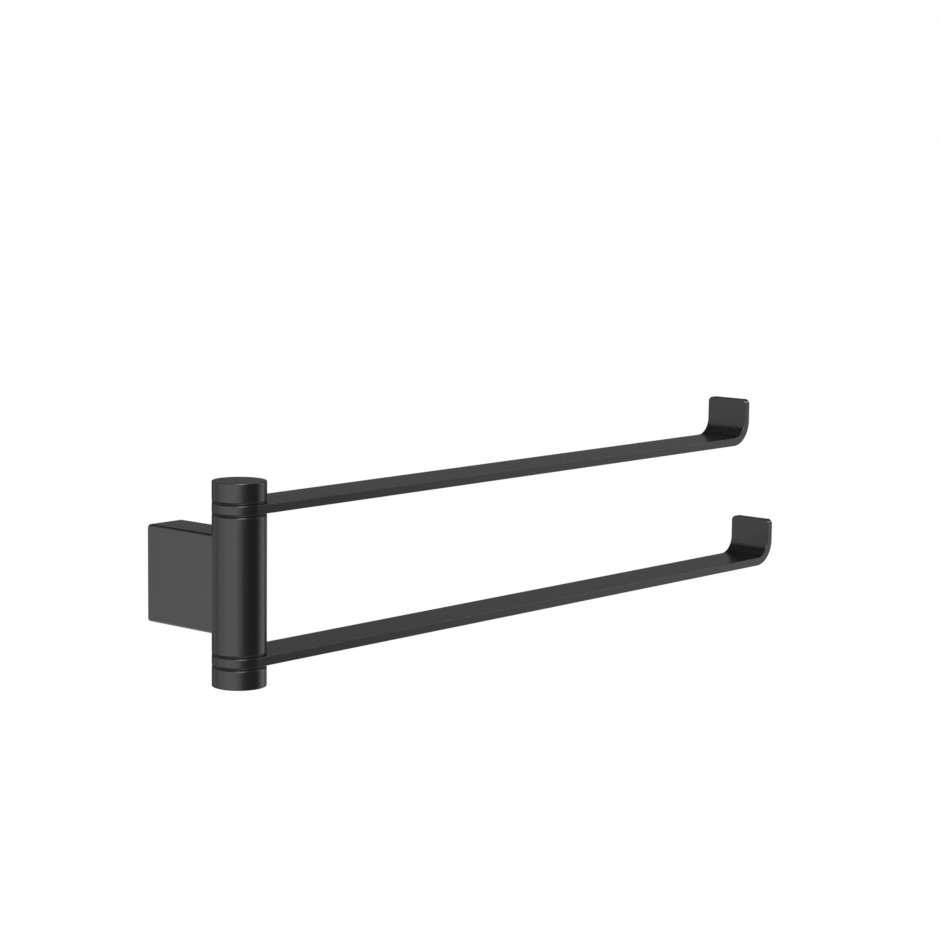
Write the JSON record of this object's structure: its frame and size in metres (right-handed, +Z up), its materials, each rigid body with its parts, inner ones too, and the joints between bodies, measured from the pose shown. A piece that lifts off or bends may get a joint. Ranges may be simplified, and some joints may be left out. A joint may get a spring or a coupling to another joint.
{
  "type": "swing towel rail",
  "caption": "Wall-hung towel rail: a hollow block carries an upright post, on which flat arms with upturned tips swing from one side along the wall to the other.",
  "frame": {"origin": "middle of the block's face on the wall", "axes": "+Y into the wall, -Y out of it; +Z up along the post; +X along the wall, the way both arms point at rest"},
  "size_m": [0.464, 0.069, 0.1173],
  "materials": {
    "black_coat": "matte black powder coat",
    "black_nylon": "moulded, matte",
    "bright_steel": "turned",
    "plated_steel": "zinc plated"
  },
  "bodies": {
    "post": {"wall_plate": "plated_steel", "wall_block": "black_coat", "block_grub_screw": "bright_steel", "barrel": "black_coat", "barrel_bolts": "plated_steel", "barrel_bolt_washers": "plated_steel", "spindle": "bright_steel", "spindle_lock_screw": "bright_steel", "upper_arm_top_washer": "black_nylon", "upper_arm_bottom_washer": "black_nylon", "lower_arm_top_washer": "black_nylon", "lower_arm_bottom_washer": "black_nylon", "upper_keyed_washer": "plated_steel", "upper_disc_spring": "bright_steel", "upper_nut": "plated_steel", "top_cap": "black_coat", "lower_keyed_washer": "plated_steel", "lower_disc_spring": "bright_steel", "lower_nut": "plated_steel", "bottom_cap": "black_coat"},
    "upper_swing": {"upper_arm": "black_coat", "upper_arm_bush": "black_nylon"},
    "lower_swing": {"lower_arm": "black_coat", "lower_arm_bush": "black_nylon"}
  },
  "joints": [
    {"name": "upper_arm_swing", "type": "hinge", "parent": "post", "child": "upper_swing", "pos_m": [0, -0.055, 0.039], "axis": [0, 0, 1], "range_deg": [-180, 0]},
    {"name": "lower_arm_swing", "type": "hinge", "parent": "post", "child": "lower_swing", "pos_m": [0, -0.055, -0.039], "axis": [0, 0, 1], "range_deg": [-180, 0]}
  ]
}
